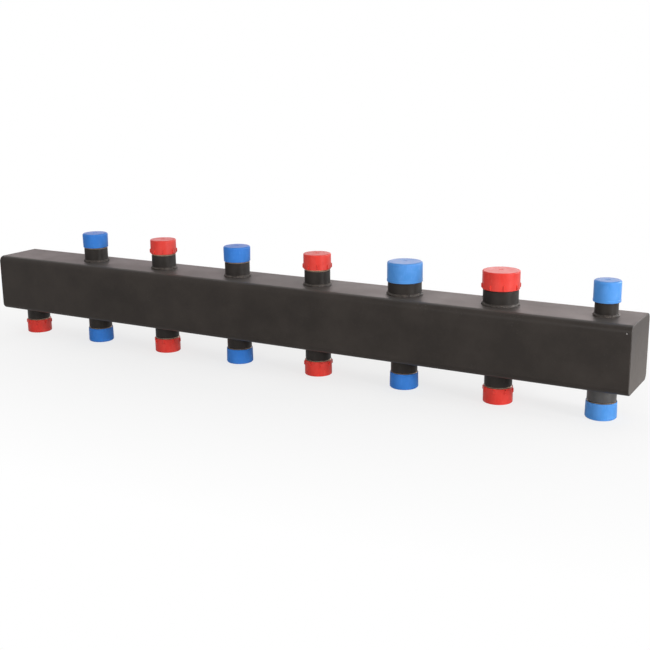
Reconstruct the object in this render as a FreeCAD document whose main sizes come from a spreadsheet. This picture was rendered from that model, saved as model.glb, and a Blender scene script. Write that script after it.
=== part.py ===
import FreeCAD, Part
import math
import os
import Sketcher

# Two-chamber heating water manifold, in millimetres.
# A square steel section is closed by two end plates and split lengthwise by a partition:
# the upper chamber collects return water, the lower one hands out supply water.
# Threaded nipples stand on the top face and hang below the bottom face at one common pitch.
# A nipple of the nearer chamber ends in the wall. One of the farther chamber runs on through
# the nearer chamber and ends in the partition. Push-on plastic caps guard the threads.
# X runs along the section, Y is its depth, Z is up, and the lower caps stand on Z = 0.

doc = FreeCAD.newDocument("manifold")

# Driving dimensions

DIMENSIONS = [
    ("section_side", "80", "outer side of the square section"),
    ("section_wall", "4", "wall of the square section"),
    ("outer_corner_radius", "8", "rounding of the section's outer long edges"),
    ("inner_corner_radius", "4", "rounding of the section's inner long edges"),
    ("station_pitch", "125", "distance from one nipple to the next"),
    ("left_overhang", "32.5", "first nipple to the left end"),
    ("right_overhang", "39.5", "last nipple to the right end"),
    ("end_plate_thickness", "4", "end plate"),
    ("end_plate_bevel", "0.8", "ground edge round the outside of an end plate"),
    ("partition_thickness", "3", "plate between the two chambers"),
    ("partition_pass", "3", "how far a long nipple passes through the partition"),
    ("hole_clearance", "0.15", "gap all round a nipple in its hole"),
    ("top_projection", "39.2", "end of an upper nipple above the top face"),
    ("bottom_projection", "38.4", "end of a lower nipple below the bottom face"),
    ("mid_pipe_diameter", "33.5", "one inch pipe"),
    ("mid_pipe_wall", "3.2", "wall of the one inch pipe"),
    ("mid_thread_length", "20", "threaded end of the one inch nipple"),
    ("big_pipe_diameter", "42.1", "inch and a quarter pipe"),
    ("big_pipe_wall", "3.2", "wall of the inch and a quarter pipe"),
    ("big_thread_length", "21.6", "threaded end of the inch and a quarter nipple"),
    ("small_pipe_diameter", "26.6", "three quarter inch pipe"),
    ("small_pipe_wall", "2.6", "wall of the three quarter inch pipe"),
    ("small_thread_length", "18", "threaded end of the three quarter inch nipple"),
    ("thread_relief", "0.12", "thread crest below the pipe's surface"),
    ("thread_chamfer", "1.2", "lead-in at the end of a thread"),
    ("weld_foot", "3", "reach of a weld bead along the wall"),
    ("weld_height", "3.6", "reach of a weld bead up the nipple"),
    ("weld_face_radius", "4.5", "rounding of a weld bead's face"),
    ("inner_weld_leg", "2.5", "leg of a weld bead at the partition"),
    ("weld_clearance", "0.05", "gap between a weld bead and its nipple"),
    ("cap_fit", "0.1", "gap all round between a cap and its pipe"),
    ("cap_end_wall", "1.6", "closed end of a cap"),
    ("red_mid_wall", "1.05", "wall of the red one inch cap"),
    ("red_mid_length", "19.7", "length of the red one inch cap"),
    ("red_big_wall", "1.05", "wall of the red inch and a quarter cap"),
    ("red_big_length", "21.8", "length of the red inch and a quarter cap"),
    ("red_edge_radius", "1.2", "rounded edge of a red cap's closed end"),
    ("rib_count", "8", "grip ribs round a red cap"),
    ("rib_proud", "1.2", "height of a grip rib"),
    ("rib_width", "1.8", "width of a grip rib"),
    ("rib_length", "6.2", "length of a grip rib"),
    ("rib_lead", "0.9", "slope at each end of a grip rib"),
    ("rib_setback", "0.8", "grip rib to the cap's rim"),
    ("blue_mid_wall", "1.3", "wall of the blue one inch cap at its closed end"),
    ("blue_mid_rim_wall", "0.9", "wall of the blue one inch cap at its rim"),
    ("blue_mid_length", "20.1", "length of the blue one inch cap"),
    ("blue_big_wall", "0.8", "wall of the blue inch and a quarter cap"),
    ("blue_big_length", "24.5", "length of the blue inch and a quarter cap"),
    ("blue_small_wall", "1.95", "wall of the blue three quarter inch cap"),
    ("blue_small_length", "24.4", "length of the blue three quarter inch cap"),
    ("blue_edge_radius", "2.2", "rounded edge of a blue cap's closed end"),
    ("lip_length", "3.2", "lip round the rim of the larger and the smaller blue cap"),
    ("lip_proud", "0.25", "lip above the skirt of its cap"),
    ("lip_slope", "0.4", "slope from the skirt to the lip"),
    ("rim_radius", "0.4", "rounded rim of a cap"),
    ("gate_diameter", "6", "moulding mark in the closed end of a cap"),
    ("gate_depth", "0.3", "depth of the moulding mark"),
]

sheet = doc.addObject("Spreadsheet::Sheet", "Dimensions")
for row, (alias, number, meaning) in enumerate(DIMENSIONS, start=1):
    sheet.set(f"A{row}", meaning)
    sheet.set(f"B{row}", number)
    sheet.setAlias(f"B{row}", alias)
doc.recompute()

# Stations are counted from the left. Supply water is capped red, return water blue.
# Each entry: station, pipe size, water, turn of the cap about its axis in degrees.
STATIONS = 8
TOP_ROW = [
    (2, "mid", "return", 0),
    (3, "mid", "supply", 39),
    (4, "mid", "return", 0),
    (5, "mid", "supply", 33),
    (6, "big", "return", 0),
    (7, "big", "supply", 30),
    (8, "small", "return", 0),
]
BOTTOM_ROW = [
    (1, "mid", "supply", 12),
    (2, "mid", "return", 0),
    (3, "mid", "supply", 25),
    (4, "mid", "return", 0),
    (5, "mid", "supply", 5),
    (6, "mid", "return", 0),
    (7, "mid", "supply", 40),
    (8, "mid", "return", 0),
]
# The water in the chamber that each row's nearer wall belongs to.
NEAR_WATER = {"top": "return", "bottom": "supply"}

# Formulas that several pieces share

HALF_SIDE = "Dimensions.section_side / 2"
INNER_SIDE = "(Dimensions.section_side - 2 * Dimensions.section_wall)"
OVERALL_LENGTH = (
    f"(Dimensions.left_overhang + {STATIONS - 1} * Dimensions.station_pitch"
    " + Dimensions.right_overhang)"
)
SECTION_LENGTH = f"({OVERALL_LENGTH} - 2 * Dimensions.end_plate_thickness)"
CENTRE_HEIGHT = (
    "(Dimensions.cap_end_wall + Dimensions.bottom_projection + Dimensions.section_side / 2)"
)


def station_x(station):
    return f"(Dimensions.left_overhang + {station - 1} * Dimensions.station_pitch - {OVERALL_LENGTH} / 2)"


def hole_diameter(size):
    return f"Dimensions.{size}_pipe_diameter + 2 * Dimensions.hole_clearance"


def is_long(row, water):
    """A nipple of the farther chamber runs on to the partition."""
    return water != NEAR_WATER[row]


# Sketching and placing

# Lengths closer than this are the same.
SAME = 1e-4


def value(formula):
    """What a formula gives with the driving dimensions."""
    return float(sheet.evalExpression(formula))


def new_body(label, x="0", row="top", turn=0):
    """A body whose own Z axis points out of the given row's face."""
    body = doc.addObject("PartDesign::Body", label)
    body.Label = label
    about_x = FreeCAD.Rotation(FreeCAD.Vector(1, 0, 0), 0 if row == "top" else 180)
    about_z = FreeCAD.Rotation(FreeCAD.Vector(0, 0, 1), turn)
    body.Placement = FreeCAD.Placement(FreeCAD.Vector(), about_x * about_z)
    body.setExpression("Placement.Base.x", x)
    body.setExpression("Placement.Base.z", CENTRE_HEIGHT)
    return body


def new_sketch(body, name, role):
    sketch = body.newObject("Sketcher::SketchObject", name)
    plane = next(f for f in body.Origin.OriginFeatures if f.Role == role)
    sketch.AttachmentSupport = (plane, [""])
    sketch.MapMode = "FlatFace"
    return sketch


def hold(sketch, kind, where, formula):
    """A sketch dimension that keeps the value of a formula."""
    index = sketch.addConstraint(Sketcher.Constraint(kind, *where, value(formula)))
    sketch.setExpression(f"Constraints[{index}]", formula)


def hold_point(sketch, geometry, vertex, x, y):
    """Keep a sketch point at two formulas, counted from the sketch's origin."""
    hold(sketch, "DistanceX", (-1, 1, geometry, vertex), x)
    hold(sketch, "DistanceY", (-1, 1, geometry, vertex), y)


def bulging_arc(start, end, radius):
    """The shorter arc between two corners, out to the right of the way from one to the other."""
    half = (end - start) / 2
    outwards = FreeCAD.Vector(half.y, -half.x, 0).normalize()
    rise = radius - math.sqrt(radius**2 - half.Length**2)
    return Part.Arc(start, start + half + outwards * rise, end)


def outline(sketch, corners, bulge_after=None, bulge_radius=None):
    """A closed outline through corners given as formulas, counter-clockwise.

    The side after one corner may be an arc that bulges outwards.
    """
    count = len(corners)
    first = sketch.GeometryCount
    points = [FreeCAD.Vector(value(x), value(y), 0) for x, y in corners]
    for i in range(count):
        start, end = points[i], points[(i + 1) % count]
        if i == bulge_after:
            sketch.addGeometry(bulging_arc(start, end, value(bulge_radius)), False)
        else:
            sketch.addGeometry(Part.LineSegment(start, end), False)
    for i in range(count):
        after = first + (i + 1) % count
        sketch.addConstraint(Sketcher.Constraint("Coincident", first + i, 2, after, 1))
    for i, (x, y) in enumerate(corners):
        hold_point(sketch, first + i, 1, x, y)
    if bulge_after is not None:
        hold(sketch, "Radius", (first + bulge_after,), bulge_radius)


def rectangle(sketch, width, height):
    half_width = f"({width}) / 2"
    half_height = f"({height}) / 2"
    outline(
        sketch,
        [
            (f"-({half_width})", f"-({half_height})"),
            (half_width, f"-({half_height})"),
            (half_width, half_height),
            (f"-({half_width})", half_height),
        ],
    )


def pad(body, sketch, length):
    """Material to both sides of the sketch."""
    feature = body.newObject("PartDesign::Pad", sketch.Name + "_pad")
    feature.Profile = sketch
    feature.setExpression("Length", length)
    feature.SideType = "Symmetric"
    doc.recompute()
    return feature


def drill(body, name, holes, side):
    """Round holes through what lies above the body's own XY plane, below it, or on both sides."""
    sketch = new_sketch(body, name, "XY_Plane")
    for station, size in holes:
        centre = FreeCAD.Vector(value(station_x(station)), 0, 0)
        round_hole = Part.Circle(centre, FreeCAD.Vector(0, 0, 1), value(hole_diameter(size)) / 2)
        circle = sketch.addGeometry(round_hole, False)
        hold_point(sketch, circle, 3, station_x(station), "0")
        hold(sketch, "Diameter", (circle,), hole_diameter(size))
    cut_through(body, sketch, side)


def cut_through(body, sketch, side):
    before = body.Shape.Volume
    pocket = body.newObject("PartDesign::Pocket", sketch.Name + "_cut")
    pocket.Profile = sketch
    pocket.Type = "ThroughAll"
    if side == "both":
        pocket.SideType = "Symmetric"
    pocket.Reversed = side == "above"
    doc.recompute()
    if not body.Shape.Volume < before:
        raise RuntimeError(f"{pocket.Name} cut nothing")
    return pocket


def revolve(body, sketch):
    feature = body.newObject("PartDesign::Revolution", sketch.Name + "_turned")
    feature.Profile = sketch
    feature.ReferenceAxis = (sketch, ["V_Axis"])
    feature.Angle = 360
    doc.recompute()
    return feature


def round_edges(body, base, name, edges, radius, kind="PartDesign::Fillet"):
    feature = body.newObject(kind, f"{body.Name}_{name}")
    feature.Base = (base, edges)
    feature.setExpression("Radius" if kind == "PartDesign::Fillet" else "Size", radius)
    doc.recompute()
    return feature


def edges_where(feature, wanted):
    """Names of the feature's edges that pass a test on the edge."""
    return [f"Edge{i}" for i, edge in enumerate(feature.Shape.Edges, start=1) if wanted(edge)]


def is_along_x(edge):
    return abs(abs(edge.tangentAt(edge.FirstParameter).x) - 1) < SAME


def widest_ring(feature, height):
    """Name of the largest full circle round the body's own Z axis at one height."""
    rings = [
        (edge.Curve.Radius, f"Edge{i}")
        for i, edge in enumerate(feature.Shape.Edges, start=1)
        if isinstance(edge.Curve, Part.Circle) and abs(edge.Curve.Center.z - height) < SAME
    ]
    return max(rings)[1]


# Square section with the holes for both rows of nipples


def make_section():
    body = new_body("box_section")
    outer = new_sketch(body, "section_outside", "YZ_Plane")
    rectangle(outer, "Dimensions.section_side", "Dimensions.section_side")
    block = pad(body, outer, SECTION_LENGTH)
    round_edges(
        body, block, "outer_corners", edges_where(block, is_along_x), "Dimensions.outer_corner_radius"
    )
    inner = new_sketch(body, "section_inside", "YZ_Plane")
    rectangle(inner, INNER_SIDE, INNER_SIDE)
    bore = cut_through(body, inner, "both")
    inner_corner = sheet.section_side / 2 - sheet.section_wall

    def is_inner_corner(edge):
        off_y = abs(abs(edge.CenterOfMass.y) - inner_corner)
        off_z = abs(abs(edge.CenterOfMass.z) - inner_corner)
        return is_along_x(edge) and off_y < SAME and off_z < SAME

    round_edges(
        body, bore, "inner_corners", edges_where(bore, is_inner_corner), "Dimensions.inner_corner_radius"
    )
    drill(body, "top_holes", [(station, size) for station, size, water, turn in TOP_ROW], "above")
    drill(body, "bottom_holes", [(station, size) for station, size, water, turn in BOTTOM_ROW], "below")
    return body


# End plates, welded on and ground flush with the section


def make_end_plate(label, side):
    centre = f"{side} * ({OVERALL_LENGTH} - Dimensions.end_plate_thickness) / 2"
    body = new_body(label, x=centre)
    sketch = new_sketch(body, label + "_outline", "YZ_Plane")
    rectangle(sketch, "Dimensions.section_side", "Dimensions.section_side")
    plate = pad(body, sketch, "Dimensions.end_plate_thickness")
    rounded = round_edges(
        body, plate, "corners", edges_where(plate, is_along_x), "Dimensions.outer_corner_radius"
    )
    face_x = side * sheet.end_plate_thickness / 2
    rim = edges_where(rounded, lambda edge: abs(edge.CenterOfMass.x - face_x) < SAME)
    round_edges(
        body, rounded, "ground_edge", rim, "Dimensions.end_plate_bevel", kind="PartDesign::Chamfer"
    )
    return body


# Partition, a flat plate with a hole for each nipple that runs on to it


def make_partition():
    body = new_body("partition_plate")
    sketch = new_sketch(body, "partition_edge", "YZ_Plane")
    rectangle(sketch, INNER_SIDE, "Dimensions.partition_thickness")
    pad(body, sketch, SECTION_LENGTH)
    rows = (("top", TOP_ROW), ("bottom", BOTTOM_ROW))
    holes = [
        (station, size)
        for row, nipples in rows
        for station, size, water, turn in nipples
        if is_long(row, water)
    ]
    drill(body, "partition_holes", holes, "both")
    return body


# Nipples, lengths of pipe with a turned-down thread at the outer end


def make_nipple(label, row, station, size, water):
    body = new_body(label, x=station_x(station), row=row)
    radius = f"Dimensions.{size}_pipe_diameter / 2"
    bore = f"({radius} - Dimensions.{size}_pipe_wall)"
    crest = f"({radius} - Dimensions.thread_relief)"
    end = f"({HALF_SIDE} + Dimensions.{row}_projection)"
    thread_start = f"({end} - Dimensions.{size}_thread_length)"
    if is_long(row, water):
        start = "-(Dimensions.partition_thickness / 2 + Dimensions.partition_pass)"
    else:
        start = f"({HALF_SIDE} - Dimensions.section_wall)"
    sketch = new_sketch(body, label + "_profile", "XZ_Plane")
    outline(
        sketch,
        [
            (bore, start),
            (radius, start),
            (radius, f"{thread_start} - Dimensions.thread_relief"),
            (crest, thread_start),
            (crest, f"{end} - Dimensions.thread_chamfer"),
            (f"{crest} - Dimensions.thread_chamfer", end),
            (bore, end),
        ],
    )
    revolve(body, sketch)
    return body


# Weld beads, one ring at each nipple and one at each pipe through the partition


def make_bead(label, row, station, size, corners):
    """A ring with a rounded face between the last two of its three corners."""
    body = new_body(label, x=station_x(station), row=row)
    sketch = new_sketch(body, label + "_profile", "XZ_Plane")
    outline(sketch, corners, bulge_after=1, bulge_radius="Dimensions.weld_face_radius")
    revolve(body, sketch)
    return body


def bead_bore(size):
    return f"Dimensions.{size}_pipe_diameter / 2 + Dimensions.weld_clearance"


def make_foot_bead(label, row, station, size):
    """The bead between the section's wall and a nipple."""
    bore = bead_bore(size)
    foot = (f"{bore} + Dimensions.weld_foot", HALF_SIDE)
    crown = (bore, f"{HALF_SIDE} + Dimensions.weld_height")
    return make_bead(label, row, station, size, [(bore, HALF_SIDE), foot, crown])


def make_inner_bead(label, row, station, size):
    """The bead between the partition's far face and the end of a long nipple."""
    bore = bead_bore(size)
    far_face = "-(Dimensions.partition_thickness / 2)"
    foot = (f"{bore} + Dimensions.inner_weld_leg", far_face)
    crown = (bore, f"{far_face} - Dimensions.inner_weld_leg")
    return make_bead(label, row, station, size, [(bore, far_face), crown, foot])


def make_weld_group(label, beads):
    group = doc.addObject("Part::Compound", label)
    group.Label = label
    group.Links = beads
    doc.recompute()
    return group


# Caps, moulded cups whose closed end rests on the end of the nipple


def make_cap(label, row, station, size, water, turn):
    colour = "red" if water == "supply" else "blue"
    kind = f"{colour}_{size}"
    body = new_body(label, x=station_x(station), row=row, turn=turn)
    bore = f"(Dimensions.{size}_pipe_diameter / 2 + Dimensions.cap_fit)"
    seat = f"({HALF_SIDE} + Dimensions.{row}_projection)"
    end = f"({seat} + Dimensions.cap_end_wall)"
    rim = f"({end} - Dimensions.{kind}_length)"
    skirt = f"({bore} + Dimensions.{kind}_wall)"
    gate = "Dimensions.gate_diameter / 2"
    gate_floor = f"{end} - Dimensions.gate_depth"
    inside = [("0", seat), (bore, seat), (bore, rim)]
    closed_end = [(skirt, end), (gate, end), (gate, gate_floor), ("0", gate_floor)]
    if kind == "blue_mid":
        # a soft cup whose mouth hugs the pipe
        side = [(f"{bore} + Dimensions.blue_mid_rim_wall", rim)]
    elif colour == "blue":
        # a lip round the mouth
        lip = f"{skirt} + Dimensions.lip_proud"
        lip_top = f"({rim} + Dimensions.lip_length)"
        side = [(lip, rim), (lip, f"{lip_top} - Dimensions.lip_slope"), (skirt, lip_top)]
    else:
        side = [(skirt, rim)]
    sketch = new_sketch(body, label + "_profile", "XZ_Plane")
    outline(sketch, inside + side + closed_end)
    cup = revolve(body, sketch)
    heights = [vertex.Z for vertex in cup.Shape.Vertexes]
    soft_end = round_edges(
        body, cup, "closed_end", [widest_ring(cup, max(heights))], f"Dimensions.{colour}_edge_radius"
    )
    round_edges(body, soft_end, "rim", [widest_ring(soft_end, min(heights))], "Dimensions.rim_radius")
    if colour == "red":
        add_ribs(body, label, f"({bore} + Dimensions.{kind}_wall / 2)", skirt, rim)
    return body


def add_ribs(body, label, root, surface, rim):
    """Short grip ribs along the skirt, sloped at both ends and rooted in the cap's wall."""
    crest = f"({surface} + Dimensions.rib_proud)"
    low = f"({rim} + Dimensions.rib_setback)"
    high = f"({low} + Dimensions.rib_length)"
    sketch = new_sketch(body, label + "_rib", "XZ_Plane")
    outline(
        sketch,
        [
            (root, low),
            (surface, low),
            (crest, f"{low} + Dimensions.rib_lead"),
            (crest, f"{high} - Dimensions.rib_lead"),
            (surface, high),
            (root, high),
        ],
    )
    rib = pad(body, sketch, "Dimensions.rib_width")
    pattern = body.newObject("PartDesign::PolarPattern", label + "_ribs")
    pattern.Originals = [rib]
    pattern.Axis = (sketch, ["V_Axis"])
    pattern.Angle = 360
    pattern.setExpression("Occurrences", "Dimensions.rib_count")
    body.Tip = pattern
    doc.recompute()


# The assembly, from the section outwards

parts = [
    make_section(),
    make_end_plate("left_end_plate", -1),
    make_end_plate("right_end_plate", 1),
    make_partition(),
]
inner_beads = []
for row, nipples in (("top", TOP_ROW), ("bottom", BOTTOM_ROW)):
    beads = []
    for number, (station, size, water, turn) in enumerate(nipples, start=1):
        parts.append(make_nipple(f"{row}_nipple_{number}", row, station, size, water))
        parts.append(make_cap(f"{row}_cap_{number}", row, station, size, water, turn))
        beads.append(make_foot_bead(f"{row}_bead_{number}", row, station, size))
        if is_long(row, water):
            inner_beads.append(make_inner_bead(f"{row}_inner_bead_{number}", row, station, size))
    parts.append(make_weld_group(f"{row}_welds", beads))
parts.append(make_weld_group("partition_welds", inner_beads))

# Checks, then one file for each piece

doc.recompute()
for item in doc.Objects:
    if "Invalid" in item.State or "Error" in item.State:
        raise RuntimeError(f"{item.Label} failed: {item.State}")
for part in parts:
    if part.Shape.isNull() or not part.Shape.isValid():
        raise RuntimeError(f"{part.Label} has no valid shape")

os.makedirs("parts", exist_ok=True)
for part in parts:
    part.Shape.exportStep(f"parts/{part.Label}.step")
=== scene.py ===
import bmesh
import bpy
import math
from mathutils import Matrix, Vector


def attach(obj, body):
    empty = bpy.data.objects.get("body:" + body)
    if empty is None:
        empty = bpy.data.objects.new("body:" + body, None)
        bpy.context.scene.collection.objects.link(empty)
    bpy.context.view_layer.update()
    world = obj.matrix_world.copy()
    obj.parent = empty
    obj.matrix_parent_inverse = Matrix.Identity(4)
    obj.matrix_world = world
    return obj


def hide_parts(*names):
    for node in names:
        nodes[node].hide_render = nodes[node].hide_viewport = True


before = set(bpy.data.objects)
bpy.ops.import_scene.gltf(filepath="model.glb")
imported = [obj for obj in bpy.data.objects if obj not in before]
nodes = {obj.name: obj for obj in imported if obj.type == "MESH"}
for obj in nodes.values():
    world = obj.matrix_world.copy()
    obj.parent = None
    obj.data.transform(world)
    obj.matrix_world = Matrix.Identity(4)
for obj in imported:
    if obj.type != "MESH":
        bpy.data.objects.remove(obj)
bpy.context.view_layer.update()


# The square section is a length of 80 mm cold-formed steel tube, sawn to length and drilled
# for the nipples. After welding the whole manifold gets one baked coat of satin black powder.


def feed(tree, node, inputs):
    """Sets inputs of a node to constants, or links them to the output sockets given."""
    for socket, given in inputs.items():
        if isinstance(given, bpy.types.NodeSocket):
            tree.links.new(given, node.inputs[socket])
        else:
            node.inputs[socket].default_value = given


def add_node(tree, kind, inputs=None, **settings):
    """A shader node with its settings, and what feeds the inputs named or numbered."""
    node = tree.nodes.new("ShaderNode" + kind)
    for name, setting in settings.items():
        setattr(node, name, setting)
    feed(tree, node, inputs or {})
    return node


def calc(tree, operation, *given):
    """The result of a math node."""
    return add_node(tree, "Math", dict(enumerate(given)), operation=operation).outputs[0]


def sum_of(tree, first, second, weight):
    """first + weight * second"""
    return calc(tree, "MULTIPLY_ADD", second, weight, first)


def spread(tree, source, low, high, to_low=0.0, to_high=1.0):
    """Stretches the part of a value between low and high, and clips the rest."""
    ends = {1: low, 2: high, 3: to_low, 4: to_high}
    return add_node(tree, "MapRange", {0: source, **ends}).outputs[0]


def mix_colour(tree, factor, first, second):
    """Blends two colours."""
    return add_node(tree, "Mix", {0: factor, 6: first, 7: second}, data_type="RGBA").outputs[2]


def noise(tree, place, scale, detail, roughness=0.5, distortion=0.0):
    """The value of a noise texture at a place."""
    look = {"Scale": scale, "Detail": detail, "Roughness": roughness, "Distortion": distortion}
    return add_node(tree, "TexNoise", {"Vector": place, **look}).outputs[0]


def axis_of(tree, vector, axis):
    return add_node(tree, "SeparateXYZ", {0: vector}).outputs[axis]


def facing(tree, axis):
    """How far the surface faces along an axis, from -1 to 1."""
    return axis_of(tree, add_node(tree, "NewGeometry").outputs["Normal"], axis)


def new_skin(name, inputs):
    """An empty node group that turns a place into a colour, a roughness and a height."""
    group = bpy.data.node_groups.new(name, "ShaderNodeTree")
    add_socket = group.interface.new_socket
    add_socket("Place", in_out="INPUT", socket_type="NodeSocketVector")
    for label, start in inputs.items():
        kind = "NodeSocketColor" if isinstance(start, tuple) else "NodeSocketFloat"
        add_socket(label, in_out="INPUT", socket_type=kind).default_value = start
    add_socket("Colour", in_out="OUTPUT", socket_type="NodeSocketColor")
    add_socket("Roughness", in_out="OUTPUT", socket_type="NodeSocketFloat")
    add_socket("Height", in_out="OUTPUT", socket_type="NodeSocketFloat")
    given = group.nodes.new("NodeGroupInput").outputs
    return group, given, group.nodes.new("NodeGroupOutput")


# Baked powder: faint clouds, an orange-peel ripple, dust on what faces up, and a painted sheen on
# top.
coat_skin, given, made = new_skin(
    "coat_skin",
    {
        "Deep": (0.0225, 0.0178, 0.0150, 1),
        "Clouded": (0.0350, 0.0282, 0.0240, 1),
        "Cloud Scale": 16.0,
        "Gloss": 0.42,
        "Dust": 0.6,
    },
)
# The colour of the dust, and of the painted sheen on faces turned up.
DUST_AND_SHEEN_COLOUR = (0.15, 0.138, 0.128, 1)
place = given["Place"]
clouds = noise(coat_skin, place, given["Cloud Scale"], 5.0, roughness=0.62)
clouded = spread(coat_skin, clouds, 0.36, 0.66)
tone = mix_colour(coat_skin, clouded, given["Deep"], given["Clouded"])
specks = add_node(coat_skin, "TexVoronoi", {"Vector": place, "Scale": 420.0}, feature="F1")
speck = spread(coat_skin, specks.outputs["Distance"], 0.10, 0.20, 1.0, 0.0)
drift = spread(coat_skin, noise(coat_skin, place, 38.0, 3.0), 0.46, 0.68)
upright = facing(coat_skin, "Z")
settled = spread(coat_skin, upright, -0.2, 0.9, 0.12, 1.0)
dusty = calc(coat_skin, "MULTIPLY", calc(coat_skin, "MULTIPLY", speck, drift), settled)
dust = calc(coat_skin, "MULTIPLY", dusty, given["Dust"])
# Painted sheen: faces turned up are painted paler, towards the dust's colour, for the light they
# catch.
painted_top_sheen = spread(coat_skin, upright, 0.80, 1.0, 0.0, 0.38)
matt = sum_of(coat_skin, given["Gloss"], clouded, 0.10)
peel = noise(coat_skin, place, 340.0, 3.0, roughness=0.55)
grain = noise(coat_skin, place, 1900.0, 2.0)
feed(
    coat_skin,
    made,
    {
        "Colour": mix_colour(coat_skin, calc(coat_skin, "ADD", painted_top_sheen, dust), tone, DUST_AND_SHEEN_COLOUR),
        "Roughness": sum_of(coat_skin, matt, dust, 0.30),
        "Height": sum_of(coat_skin, peel, grain, 0.22),
    },
)


def new_material(name):
    """A material with its tree, its Principled shader and the Object coordinates it reads."""
    material = bpy.data.materials.new(name)
    material.use_nodes = True
    tree = material.node_tree
    shader = next(node for node in tree.nodes if node.type == "BSDF_PRINCIPLED")
    return material, tree, shader, add_node(tree, "TexCoord").outputs["Object"]


def use_skin(tree, skin, place, values=None):
    """What a skin gives at a place, with other values than its own where some are given."""
    return add_node(tree, "Group", {"Place": place, **(values or {})}, node_tree=skin).outputs


def emboss(tree, height, strength, depth):
    """The normal of a surface with a height in parts of the depth, which is in metres."""
    inputs = {"Height": height, "Strength": strength, "Distance": depth}
    return add_node(tree, "Bump", inputs).outputs["Normal"]


def dress(names, material):
    """Gives CAD nodes, whose shape is right as it is, their finish."""
    for name in names:
        nodes[name].data.materials.clear()
        nodes[name].data.materials.append(material)


SATIN = 0.18
KNOCKS = (((0.4679, -0.0400, 0.1115), 0.0004), ((0.4628, -0.0400, 0.1153), 0.0001))
CHIP_RAGGED = 0.0012
BRIGHT_STEEL = (0.82, 0.79, 0.75, 1)
section_coat, tree, shader, place = new_material("section_coat")
skin = use_skin(tree, coat_skin, place)
# Two knocks beside the right end have chipped the coat down to bright steel.
spots = []
for centre, radius in KNOCKS:
    away = add_node(tree, "VectorMath", {0: place, 1: centre}, operation="DISTANCE")
    edge = sum_of(tree, away.outputs["Value"], noise(tree, place, 900.0, 2.0), CHIP_RAGGED)
    inner, outer = radius + CHIP_RAGGED / 3, radius + CHIP_RAGGED * 2 / 3
    spots.append(spread(tree, edge, inner, outer, 1.0, 0.0))
chips = calc(tree, "MAXIMUM", *spots)
feed(
    tree,
    shader,
    {
        "Base Color": mix_colour(tree, chips, skin["Colour"], BRIGHT_STEEL),
        "Roughness": skin["Roughness"],
        "Specular IOR Level": SATIN,
        "Normal": emboss(tree, sum_of(tree, skin["Height"], chips, -2.0), 0.16, 0.0004),
    },
)
dress(["box_section"], section_coat)


# The end plates are 4 mm squares of steel plate, welded all round to the ends of the section.
# The weld is ground flush, which leaves a narrow worn edge and swirling marks under the coat.
# The end faces are painted paler than the sides, though the coat is the same: painted light.
LIT_PLATE_DEEP = (0.0285, 0.0222, 0.0188, 1)
LIT_PLATE_CLOUDED = (0.0450, 0.0358, 0.0302, 1)
WORN_EDGE = (0.050, 0.045, 0.041, 1)
# The colour of the painted floor reflection on the lower half of the end faces.
PAINTED_FLOOR_REFLECTION = (0.100, 0.086, 0.076, 1)
EDGE_SLANT = 0.70
REFLECTION_TOP_Z = 0.112
REFLECTION_FOOT_Z = 0.044
plate_coat, tree, shader, place = new_material("plate_coat")
lit_face_tone = {"Deep": LIT_PLATE_DEEP, "Clouded": LIT_PLATE_CLOUDED, "Gloss": 0.44, "Cloud Scale": 22.0}
skin = use_skin(tree, coat_skin, place, lit_face_tone)
# Where the surface turns from the face to the sides lies the ground edge.
slant = calc(tree, "ABSOLUTE", facing(tree, "X"))
off_edge = calc(tree, "ABSOLUTE", calc(tree, "SUBTRACT", slant, EDGE_SLANT))
ground_edge = spread(tree, off_edge, 0.10, 0.24, 1.0, 0.0)
patches = noise(tree, place, 130.0, 4.0)
worn = calc(tree, "MULTIPLY", ground_edge, spread(tree, patches, 0.30, 0.66))
outward = spread(tree, slant, 0.75, 0.95)
sides = use_skin(tree, coat_skin, place)
# The paler tone, painted light, goes only on the faces that turn to the ends.
coat_with_lit_face = mix_colour(tree, outward, sides["Colour"], skin["Colour"])
edged = mix_colour(tree, worn, coat_with_lit_face, WORN_EDGE)
# The lower half of the face is painted paler: a painted reflection of the lit floor beyond the end.
reflection_by_height = spread(tree, axis_of(tree, place, "Z"), REFLECTION_TOP_Z, REFLECTION_FOOT_Z, 0.0, 0.72)
reflected_low_half = calc(tree, "MULTIPLY", reflection_by_height, outward)
painted_reflection = calc(tree, "MULTIPLY", reflected_low_half, spread(tree, patches, 0.2, 0.7, 0.7, 1.0))
grinding = {"Vector": place, "Scale": 120.0, "Distortion": 9.0, "Detail": 2.0}
swirl = add_node(tree, "TexWave", grinding).outputs["Fac"]
feed(
    tree,
    shader,
    {
        "Base Color": mix_colour(tree, painted_reflection, edged, PAINTED_FLOOR_REFLECTION),
        "Roughness": skin["Roughness"],
        "Specular IOR Level": SATIN,
        "Normal": emboss(tree, sum_of(tree, skin["Height"], swirl, 0.10), 0.18, 0.0004),
    },
)
dress(["left_end_plate", "right_end_plate"], plate_coat)


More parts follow.
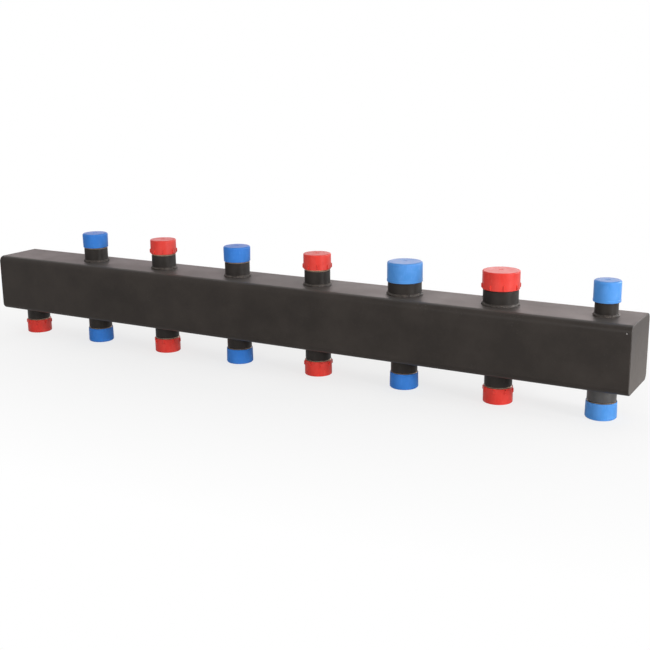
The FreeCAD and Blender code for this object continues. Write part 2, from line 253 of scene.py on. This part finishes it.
# The partition is a strip of bare hot-rolled steel, tacked inside the section before the ends
# go on. It is never coated, and the ring welds round the pipes on it keep their heat colours.
steel_skin, given, made = new_skin(
    "steel_skin",
    {
        "Clean": (0.46, 0.43, 0.40, 1),
        "Stained": (0.20, 0.15, 0.11, 1),
        "Stain Scale": 40.0,
        "Stain": 0.6,
    },
)
place = given["Place"]
stains = noise(steel_skin, place, given["Stain Scale"], 6.0, roughness=0.65)
stained = calc(steel_skin, "MULTIPLY", spread(steel_skin, stains, 0.40, 0.68), given["Stain"])
scale_marks = noise(steel_skin, place, 800.0, 4.0)
feed(
    steel_skin,
    made,
    {
        "Colour": mix_colour(steel_skin, stained, given["Clean"], given["Stained"]),
        "Roughness": spread(steel_skin, stained, 0.0, 1.0, 0.34, 0.62),
        "Height": sum_of(steel_skin, stained, scale_marks, 0.5),
    },
)
BARE_METAL = 0.85
STEEL_BUMP = 0.25


def steel_material(name, values, stretch, depth):
    """Bare steel, its marks drawn out along the axes that the stretch makes small."""
    material, tree, shader, place = new_material(name)
    along = add_node(tree, "Mapping", {"Vector": place, "Scale": stretch}).outputs["Vector"]
    skin = use_skin(tree, steel_skin, along, values)
    feed(
        tree,
        shader,
        {
            "Base Color": skin["Colour"],
            "Metallic": BARE_METAL,
            "Roughness": skin["Roughness"],
            "Normal": emboss(tree, skin["Height"], STEEL_BUMP, depth),
        },
    )
    return material


stained_more = {"Stain": 0.8}
rolled_steel = steel_material("rolled_steel", stained_more, stretch=(0.12, 1, 1), depth=0.0002)
dress(["partition_plate"], rolled_steel)
heat_tint = {"Clean": (0.33, 0.31, 0.33, 1), "Stained": (0.16, 0.10, 0.07, 1), "Stain Scale": 160.0}
welded_steel = steel_material("welded_steel", heat_tint, stretch=(1, 1, 1), depth=0.0003)
dress(["partition_welds"], welded_steel)


# The nipples are short lengths of steel pipe with a parallel pipe thread cut on the outer end.
# The threads are masked while the body is coated, so they stay bare and a little tanned by oil.
FIRST_STATION_X = -0.441
STATION_SPACING = 0.125
STATION_X = [FIRST_STATION_X + STATION_SPACING * step for step in range(8)]
MIDDLE_Z = 0.080
WALL_Z = 0.120
WALL = 0.004
TOP_END_Z = 0.1592
LOWEST_Z = 0.0016
# The lower row is modelled upright and then turned over about the middle of the section.
BOTTOM_END_Z = 2 * MIDDLE_Z - LOWEST_Z
SHORT_END_Z = WALL_Z - WALL
LONG_END_Z = 0.0755
PIPES = {
    "mid": {"radius": 0.01675, "wall": 0.0032, "thread": 0.0200, "pitch": 0.002309},
    "big": {"radius": 0.02105, "wall": 0.0032, "thread": 0.0216, "pitch": 0.002309},
    "small": {"radius": 0.01330, "wall": 0.0026, "thread": 0.0180, "pitch": 0.001814},
}
PIPE_SIDES = 128
THREAD_RELIEF = 0.00012
THREAD_CHAMFER = 0.0012
# Depth and flats of the thread, and the turns wound before it starts, in pitches.
THREAD_DEPTH = 0.64
THREAD_FLAT = 1 / 12
THREAD_LEAD = 1.3
THREAD_SMOOTH = math.radians(32)
SAME_PLACE = 1e-6
CUT_EXACTLY = 1e-8


def coat_material(name, values, shine, bump, depth):
    """The powder coat as it lies on a small piece."""
    material, tree, shader, place = new_material(name)
    skin = use_skin(tree, coat_skin, place, values)
    feed(
        tree,
        shader,
        {
            "Base Color": skin["Colour"],
            "Roughness": skin["Roughness"],
            "Specular IOR Level": shine,
            "Normal": emboss(tree, skin["Height"], bump, depth),
        },
    )
    return material


on_pipe = {"Cloud Scale": 60.0, "Gloss": 0.40, "Dust": 0.35}
# The pipes are painted darker than the section, though it is the same powder: painted shade.
painted_shade_tone = {"Deep": (0.0160, 0.0128, 0.0110, 1), "Clouded": (0.0250, 0.0202, 0.0172, 1)}
nipple_coat = coat_material(
    "nipple_coat", {**on_pipe, **painted_shade_tone}, shine=SATIN, bump=0.14, depth=0.0003
)
# The last lower nipple is painted greyer, painted light from the bright floor by the right end, and
# shines more.
painted_lit_grey = {"Deep": (0.030, 0.028, 0.027, 1), "Clouded": (0.048, 0.045, 0.044, 1)}
floor_lit_coat = coat_material(
    "floor_lit_coat", {**on_pipe, **painted_lit_grey}, shine=0.55, bump=0.14, depth=0.0003
)

# The powder drifts a little way past the masking, so the first turns are still dark.
DRIFT_FROM = 0.0592
DRIFT_TO = 0.0608
DRIFT_RAGGED = 0.0012
DRIFTED_POWDER = (0.030, 0.024, 0.020, 1)
oiled = {"Clean": (0.56, 0.44, 0.33, 1), "Stained": (0.26, 0.15, 0.09, 1), "Stain Scale": 180.0}
cut_thread, tree, shader, place = new_material("cut_thread")
skin = use_skin(tree, steel_skin, place, oiled)
reach = calc(tree, "ABSOLUTE", calc(tree, "SUBTRACT", axis_of(tree, place, "Z"), MIDDLE_Z))
ragged = sum_of(tree, reach, noise(tree, place, 1400.0, 2.0), DRIFT_RAGGED)
bare = spread(tree, ragged, DRIFT_FROM, DRIFT_TO)
feed(
    tree,
    shader,
    {
        "Base Color": mix_colour(tree, bare, DRIFTED_POWDER, skin["Colour"]),
        "Metallic": calc(tree, "MULTIPLY", bare, BARE_METAL),
        "Roughness": skin["Roughness"],
        "Normal": emboss(tree, skin["Height"], STEEL_BUMP, 0.0001),
    },
)
rusty = {"Stain": 0.9, "Stain Scale": 90.0}
pipe_bore = steel_material("pipe_bore", rusty, stretch=(1, 1, 0.2), depth=0.0002)


def draw_profile(name, points):
    """A string of edges in the XZ plane, drawn by extruding one point from place to place."""
    bpy.ops.object.select_all(action="DESELECT")
    bpy.ops.mesh.primitive_plane_add(size=0.001, location=(0, 0, 0))
    piece = bpy.context.object
    piece.name = name
    bpy.ops.object.mode_set(mode="EDIT")
    bpy.ops.mesh.select_mode(type="VERT")
    bpy.ops.mesh.select_all(action="SELECT")
    bpy.ops.mesh.merge(type="CENTER")
    bpy.ops.transform.translate(value=(points[0][0], 0, points[0][1]))
    for (x0, z0), (x1, z1) in zip(points, points[1:]):
        bpy.ops.mesh.extrude_vertices_move(TRANSFORM_OT_translate={"value": (x1 - x0, 0, z1 - z0)})
    return piece


def select_only(piece, kind, wanted):
    """In edit mode, selects only the vertices, edges or faces that pass a test."""
    bpy.ops.mesh.select_all(action="DESELECT")
    bpy.ops.mesh.select_mode(type=kind)
    mesh = bmesh.from_edit_mesh(piece.data)
    for found in {"VERT": mesh.verts, "EDGE": mesh.edges, "FACE": mesh.faces}[kind]:
        found.select_set(wanted(found))
    mesh.select_flush_mode()
    bmesh.update_edit_mesh(piece.data)


def on_rim(edge, height):
    """Whether an edge is open and lies at a height."""
    return edge.is_boundary and all(abs(v.co.z - height) < SAME_PLACE for v in edge.verts)


def extrude_ring(z_from, z_to, r_from, r_to):
    """Extrudes the selected ring to another height and radius."""
    bpy.ops.mesh.extrude_region_move(TRANSFORM_OT_translate={"value": (0, 0, z_to - z_from)})
    share = r_to / r_from
    bpy.ops.transform.resize(value=(share, share, 1), center_override=(0, 0, z_to))


def model_nipple(name, size, inner_z, end_z):
    """One nipple on the Z axis: a wound thread, closed by rings into a pipe."""
    pipe = PIPES[size]
    radius, pitch = pipe["radius"], pipe["pitch"]
    crest = radius - THREAD_RELIEF
    root = crest - THREAD_DEPTH * pitch
    bore = radius - pipe["wall"]
    start_z = end_z - pipe["thread"]
    trim_z = end_z - THREAD_CHAMFER
    flat = THREAD_FLAT * pitch
    low = start_z - THREAD_LEAD * pitch
    piece = draw_profile(
        name,
        [
            (root, low),
            (root, low + flat),
            (crest, low + pitch / 2 - flat),
            (crest, low + pitch / 2 + flat),
            (root, low + pitch - flat),
            (root, low + pitch),
        ],
    )
    bpy.ops.object.mode_set(mode="OBJECT")
    wound = piece.modifiers.new("wound", "SCREW")
    wound.steps = wound.render_steps = PIPE_SIDES
    wound.screw_offset = pitch
    wound.iterations = math.ceil(pipe["thread"] / pitch) + 2
    bpy.ops.object.modifier_apply(modifier="wound")
    bpy.ops.object.mode_set(mode="EDIT")
    bpy.ops.mesh.select_all(action="SELECT")
    bpy.ops.mesh.remove_doubles(threshold=SAME_PLACE)
    cut = {"plane_no": (0, 0, 1), "threshold": CUT_EXACTLY}
    bpy.ops.mesh.bisect(plane_co=(0, 0, start_z), clear_inner=True, **cut)
    bpy.ops.mesh.select_all(action="SELECT")
    bpy.ops.mesh.bisect(plane_co=(0, 0, trim_z), clear_outer=True, **cut)
    bpy.ops.mesh.select_all(action="DESELECT")
    shoulder_z = start_z - THREAD_RELIEF
    bpy.ops.mesh.primitive_circle_add(
        vertices=PIPE_SIDES, radius=radius, location=(0, 0, shoulder_z), fill_type="NOTHING"
    )
    mouth = crest - THREAD_CHAMFER
    extrude_ring(shoulder_z, inner_z, radius, radius)
    extrude_ring(inner_z, inner_z, radius, bore)
    extrude_ring(inner_z, end_z, bore, bore)
    extrude_ring(end_z, end_z, bore, mouth)
    for one, other in ((start_z, shoulder_z), (trim_z, end_z)):
        select_only(piece, "EDGE", lambda edge: on_rim(edge, one) or on_rim(edge, other))
        bpy.ops.mesh.bridge_edge_loops()
    bpy.ops.mesh.select_all(action="SELECT")
    bpy.ops.mesh.normals_make_consistent(inside=False)
    for material in (nipple_coat, cut_thread, pipe_bore):
        piece.data.materials.append(material)
    middle_r = (bore + root) / 2

    def is_thread(face):
        centre = face.calc_center_median()
        return centre.z > start_z - SAME_PLACE and centre.xy.length > middle_r

    def is_bore(face):
        return face.calc_center_median().xy.length < middle_r

    for index, wanted in ((1, is_thread), (2, is_bore)):
        select_only(piece, "FACE", wanted)
        piece.active_material_index = index
        bpy.ops.object.material_slot_assign()
    bpy.ops.object.mode_set(mode="OBJECT")
    bpy.ops.object.shade_smooth_by_angle(angle=THREAD_SMOOTH)
    return piece


def copy_to(pattern, name, x, upside_down):
    """A copy with its own mesh, moved along the section and, for the lower row, turned over."""
    bpy.ops.object.select_all(action="DESELECT")
    pattern.select_set(True)
    bpy.context.view_layer.objects.active = pattern
    bpy.ops.object.duplicate(linked=False)
    piece = bpy.context.object
    piece.name = name
    bpy.ops.object.mode_set(mode="EDIT")
    bpy.ops.mesh.select_all(action="SELECT")
    if upside_down:
        bpy.ops.transform.rotate(value=math.pi, orient_axis="X", center_override=(0, 0, MIDDLE_Z))
    bpy.ops.transform.translate(value=(x, 0, 0))
    bpy.ops.object.mode_set(mode="OBJECT")
    return piece


def discard(pattern):
    bpy.ops.object.select_all(action="DESELECT")
    pattern.select_set(True)
    bpy.ops.object.delete()


# The row, the pipe, where its inner end lies, and the station of each nipple by its number.
NIPPLES = [
    ("top", "mid", SHORT_END_Z, {1: 2, 3: 4}),
    ("top", "mid", LONG_END_Z, {2: 3, 4: 5}),
    ("top", "big", SHORT_END_Z, {5: 6}),
    ("top", "big", LONG_END_Z, {6: 7}),
    ("top", "small", SHORT_END_Z, {7: 8}),
    ("bottom", "mid", SHORT_END_Z, {1: 1, 3: 3, 5: 5, 7: 7}),
    ("bottom", "mid", LONG_END_Z, {2: 2, 4: 4, 6: 6, 8: 8}),
]
for row, size, inner_z, stations in NIPPLES:
    end_z = TOP_END_Z if row == "top" else BOTTOM_END_Z
    pattern = model_nipple("nipple_pattern", size, inner_z, end_z)
    for number, station in stations.items():
        name = f"{row}_nipple_{number}"
        piece = copy_to(pattern, name + "_threaded", STATION_X[station - 1], row == "bottom")
        # The last lower nipple takes the greyer coat of painted light.
        if name == "bottom_nipple_8":
            piece.data.materials[0] = floor_lit_coat
        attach(piece, "root")
        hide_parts(name)
    discard(pattern)


# A hand-laid weld bead fastens each nipple to the wall. It is a ring of overlapping ripples,
# uneven in height. Paler patches in its coat are a painted highlight of the light on its slope.
BEAD_FOOT = 0.0014
BEAD_HEIGHT = 0.0030
BEAD_ROUND = 0.0026
BEAD_SIDES = 8
BEAD_CLEARANCE = 0.00005
BEAD_SMOOTH = math.radians(50)
RIPPLE = 0.0019
STEPS_PER_RIPPLE = 4
# How far the face moves out at the first and the third step of a ripple.
RIPPLE_MOVES = {0: -0.00030, 2: 0.00012}
LUMP_SIZE = 0.0045
LUMP_HEIGHT = 0.0009
# Paler clouds on the bead: a painted highlight of the light on its sloped face.
lit_bead_tone = {
    "Cloud Scale": 240.0,
    "Clouded": (0.075, 0.061, 0.052, 1),
    "Gloss": 0.38,
    "Dust": 0.2,
}
bead_coat = coat_material("bead_coat", lit_bead_tone, shine=0.22, bump=0.30, depth=0.0005)


def model_bead(name, size):
    """One ring bead on the top wall, its face pinched in between the ripples."""
    bore = PIPES[size]["radius"] + BEAD_CLEARANCE
    foot = Vector((bore + BEAD_FOOT, WALL_Z))
    crown = Vector((bore, WALL_Z + BEAD_HEIGHT))
    half = (crown - foot) / 2
    inward = Vector((-half.y, half.x)).normalized()
    centre = foot + half + inward * math.sqrt(BEAD_ROUND**2 - half.length_squared)
    first = math.atan2(foot.y - centre.y, foot.x - centre.x)
    last = math.atan2(crown.y - centre.y, crown.x - centre.x)
    face = []
    for i in range(BEAD_SIDES + 1):
        angle = first + (last - first) * i / BEAD_SIDES
        x = centre.x + BEAD_ROUND * math.cos(angle)
        face.append((x, centre.y + BEAD_ROUND * math.sin(angle)))
    piece = draw_profile(name, [(bore, WALL_Z)] + face)
    # Filling the outline and taking the filling out again leaves it closed.
    bpy.ops.mesh.select_all(action="SELECT")
    bpy.ops.mesh.edge_face_add()
    select_only(piece, "FACE", lambda filling: True)
    bpy.ops.mesh.delete(type="ONLY_FACE")
    bpy.ops.mesh.select_mode(type="EDGE")
    bpy.ops.mesh.select_all(action="SELECT")
    steps = STEPS_PER_RIPPLE * round(2 * math.pi * (bore + BEAD_FOOT / 2) / RIPPLE)
    bpy.ops.mesh.spin(steps=steps, angle=2 * math.pi, center=(0, 0, 0), axis=(0, 0, 1))
    bpy.ops.mesh.select_all(action="SELECT")
    bpy.ops.mesh.remove_doubles(threshold=SAME_PLACE)
    bpy.ops.mesh.normals_make_consistent(inside=False)

    def step_of(vertex):
        turn = math.atan2(vertex.co.y, vertex.co.x) / (2 * math.pi)
        return round(turn * steps) % STEPS_PER_RIPPLE

    def on_face(vertex):
        return vertex.co.xy.length > bore + SAME_PLACE and vertex.co.z > WALL_Z + SAME_PLACE

    for step, move in RIPPLE_MOVES.items():
        select_only(piece, "VERT", lambda vertex: on_face(vertex) and step_of(vertex) == step)
        bpy.ops.transform.shrink_fatten(value=move)
    bpy.ops.object.mode_set(mode="OBJECT")
    piece.data.materials.append(bead_coat)
    return piece


lumps = bpy.data.textures.new("bead_lumps", "CLOUDS")
lumps.noise_scale = LUMP_SIZE
lumps.noise_depth = 2
# The stations of each row's beads, by the pipe that they go round.
BEADS = {
    "top": {"mid": (2, 3, 4, 5), "big": (6, 7), "small": (8,)},
    "bottom": {"mid": (1, 2, 3, 4, 5, 6, 7, 8)},
}
for row, sizes in BEADS.items():
    rings = []
    for size, stations in sizes.items():
        pattern = model_bead("bead_pattern", size)
        for station in stations:
            x = STATION_X[station - 1]
            rings.append(copy_to(pattern, f"{row}_bead_{station}", x, row == "bottom"))
        discard(pattern)
    bpy.ops.object.select_all(action="DESELECT")
    for ring in rings:
        ring.select_set(True)
    bpy.context.view_layer.objects.active = rings[0]
    bpy.ops.object.join()
    piece = bpy.context.object
    piece.name = f"{row}_weld_beads"
    uneven = piece.modifiers.new("uneven", "DISPLACE")
    uneven.texture = lumps
    uneven.texture_coords = "LOCAL"
    uneven.strength = LUMP_HEIGHT
    uneven.mid_level = 0.5
    bpy.ops.object.modifier_apply(modifier="uneven")
    bpy.ops.object.shade_smooth_by_angle(angle=BEAD_SMOOTH)
    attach(piece, "root")
    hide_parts(f"{row}_welds")


# The caps are thread guards moulded in soft polyethylene and pushed on by hand. Red ones have
# short grip ribs round the mouth and stand for supply, blue ones are plain and stand for return.
moulded_skin, given, made = new_skin(
    "moulded_skin",
    {"Fresh": (0.5, 0.5, 0.5, 1), "Bleached": (0.6, 0.6, 0.6, 1), "Scuff": 0.5},
)
place = given["Place"]
flow = spread(moulded_skin, noise(moulded_skin, place, 70.0, 4.0, distortion=0.8), 0.35, 0.70)
lengthwise = {"Vector": place, "Scale": (1.0, 1.0, 0.16), "Rotation": (0.5, 0.3, 0.0)}
slender = add_node(moulded_skin, "Mapping", lengthwise).outputs["Vector"]
rubs = spread(moulded_skin, noise(moulded_skin, slender, 700.0, 3.0), 0.60, 0.74)
scuffed = calc(moulded_skin, "MULTIPLY", rubs, given["Scuff"])
pale = sum_of(moulded_skin, scuffed, flow, 0.45)
ripple = noise(moulded_skin, place, 260.0, 2.0)
feed(
    moulded_skin,
    made,
    {
        "Colour": mix_colour(moulded_skin, pale, given["Fresh"], given["Bleached"]),
        "Roughness": spread(moulded_skin, pale, 0.0, 1.0, 0.36, 0.52),
        "Height": sum_of(moulded_skin, ripple, scuffed, 0.4),
    },
)


def cap_material(name, fresh, bleached, shine):
    """Moulded plastic that lets a little light in."""
    material, tree, shader, place = new_material(name)
    skin = use_skin(tree, moulded_skin, place, {"Fresh": fresh, "Bleached": bleached})
    feed(
        tree,
        shader,
        {
            "Base Color": skin["Colour"],
            "Roughness": skin["Roughness"],
            "Specular IOR Level": shine,
            "Subsurface Weight": 0.08,
            "Subsurface Radius": (0.004, 0.002, 0.002),
            "Subsurface Scale": 0.5,
            "Normal": emboss(tree, skin["Height"], 0.10, 0.0003),
        },
    )
    return material


RED, PALE_RED = (0.670, 0.034, 0.023, 1), (0.765, 0.072, 0.053, 1)
BLUE, PALE_BLUE = (0.034, 0.185, 0.590, 1), (0.062, 0.245, 0.690, 1)
SKY, PALE_SKY = (0.064, 0.250, 0.620, 1), (0.116, 0.322, 0.730, 1)
red_cap = cap_material("red_cap", RED, PALE_RED, shine=0.28)
blue_cap = cap_material("blue_cap", BLUE, PALE_BLUE, shine=0.12)
sky_and_lit_cap = cap_material("sky_and_lit_cap", SKY, PALE_SKY, shine=0.14)
dress(["top_cap_2", "top_cap_4", "top_cap_6"], red_cap)
dress([f"bottom_cap_{number}" for number in (1, 3, 5, 7)], red_cap)
dress(["top_cap_1", "top_cap_3"], blue_cap)
dress([f"bottom_cap_{number}" for number in (2, 4, 6)], blue_cap)
# The last lower cap, a mid-size cap like the rest of its row, gets the paler sky blue: painted
# light from the bright floor by the right end.
dress(["top_cap_5", "top_cap_7", "bottom_cap_8"], sky_and_lit_cap)


# The studio: a pale paper floor that the caps stand on and a white surround, with five soft
# lamps and a reflector card, and the camera where the photograph was taken from.
FLOOR_SIZE = 14
FLOOR_Z = -0.0002
PAPER = (0.86, 0.86, 0.86, 1)
WHITE = (1, 1, 1, 1)
SHADOW_REACH = 0.12
WHITE_REACH = 0.45
SQUEEZE_X = 0.4
SHOWN_BY_GLOSS = 0.45
FILL_LIGHT = 0.35


def seen_rays(tree, in_reflection=1.0):
    """1 for what the camera sees, and a share for what a shiny or clear surface shows of it."""
    rays = add_node(tree, "LightPath").outputs
    mirrored = calc(tree, "ADD", rays["Is Glossy Ray"], rays["Is Transmission Ray"])
    inputs = {0: mirrored, 1: in_reflection, 2: rays["Is Camera Ray"]}
    return add_node(tree, "Math", inputs, operation="MULTIPLY_ADD", use_clamp=True).outputs[0]


bpy.ops.object.select_all(action="DESELECT")
bpy.ops.mesh.primitive_plane_add(size=FLOOR_SIZE, location=(0, 0, FLOOR_Z))
floor = bpy.context.object
floor.name = "floor"
floor_paper, tree, shader, place = new_material("floor_paper")
feed(tree, shader, {"Base Color": PAPER, "Roughness": 0.9, "Specular IOR Level": 0.0})
# The paper keeps a soft shadow under the manifold and fades to plain white further out.
squeezed = add_node(tree, "VectorMath", {0: place, 1: (SQUEEZE_X, 1, 1)}, operation="MULTIPLY")
away = add_node(tree, "VectorMath", {0: squeezed.outputs["Vector"]}, operation="LENGTH")
whitened = spread(tree, away.outputs["Value"], SHADOW_REACH, WHITE_REACH, 0.75, 1.0)
share = calc(tree, "MULTIPLY", whitened, seen_rays(tree, SHOWN_BY_GLOSS))
glow = add_node(tree, "Emission", {"Color": WHITE, "Strength": 1.0}).outputs["Emission"]
blend = add_node(tree, "MixShader", {0: share, 1: shader.outputs["BSDF"], 2: glow})
sheet_end = next(node for node in tree.nodes if node.type == "OUTPUT_MATERIAL")
feed(tree, sheet_end, {"Surface": blend.outputs["Shader"]})
floor.data.materials.append(floor_paper)

surround = bpy.data.worlds.new("surround")
bpy.context.scene.world = surround
surround.use_nodes = True
tree = surround.node_tree
tree.nodes.clear()
fill = add_node(tree, "Background", {"Color": WHITE, "Strength": FILL_LIGHT}).outputs["Background"]
shown = add_node(tree, "Background", {"Color": WHITE, "Strength": 1.0}).outputs["Background"]
blend = add_node(tree, "MixShader", {0: seen_rays(tree), 1: fill, 2: shown})
add_node(tree, "OutputWorld", {"Surface": blend.outputs["Shader"]})


def softbox(name, at, toward, size, power, colour=(1, 1, 1)):
    """A rectangular lamp, aimed at a point."""
    lamp = bpy.data.lights.new(name, "AREA")
    lamp.color = colour
    lamp.shape = "RECTANGLE"
    lamp.size, lamp.size_y = size
    lamp.energy = power
    holder = bpy.data.objects.new(name, lamp)
    holder.location = at
    aim = Vector(toward) - Vector(at)
    holder.rotation_euler = aim.to_track_quat("-Z", "Y").to_euler()
    bpy.context.scene.collection.objects.link(holder)
    return holder


PINK = (1.0, 0.80, 0.79)
ROSE = (1.0, 0.60, 0.66)
softbox("overhead", at=(0.2, 0.2, 2.3), toward=(0.1, 0.0, 0.1), size=(2.6, 1.8), power=12)
softbox("front", at=(0.2, -2.6, 0.7), toward=(0.1, 0.0, 0.08), size=(1.6, 1.0), power=21)
softbox("right_side", at=(2.2, -0.45, 0.42), toward=(0.3, 0.0, 0.06), size=(0.6, 0.35), power=32)
softbox("behind", (-0.1, 2.6, 0.75), (0.3, 0.0, 0.12), size=(2.4, 1.0), power=14, colour=PINK)
softbox("behind_left", (-2.4, 2.4, 0.75), (-0.3, 0.0, 0.12), size=(1.6, 1.0), power=4, colour=ROSE)
# A reflector card, which only shows as a sheen down the right flanks of pipes and caps.
card = softbox("card", at=(2.1, 1.6, 0.80), toward=(0.2, 0.0, 0.13), size=(0.9, 0.5), power=75)
card.visible_diffuse = False

# The camera is turned to the left, tipped down and rolled a little, in degrees.
CAMERA_PLACE = (0.73247, -1.15047, 0.39910)
CAMERA_TURNS = (29.9496, 14.0552, -0.6204)
FOCAL_LENGTH = 58.178
FILM_WIDTH = 36.0
lens = bpy.data.cameras.new("camera")
lens.lens, lens.sensor_width = FOCAL_LENGTH, FILM_WIDTH
camera = bpy.data.objects.new("camera", lens)
left, down, roll = (math.radians(turn) for turn in CAMERA_TURNS)
aimed = Matrix.Rotation(left, 4, "Z") @ Matrix.Rotation(math.pi / 2 - down, 4, "X")
camera.matrix_world = Matrix.Translation(CAMERA_PLACE) @ aimed @ Matrix.Rotation(roll, 4, "Z")
bpy.context.scene.collection.objects.link(camera)
bpy.context.scene.camera = camera
bpy.context.scene.view_settings.view_transform = "Standard"
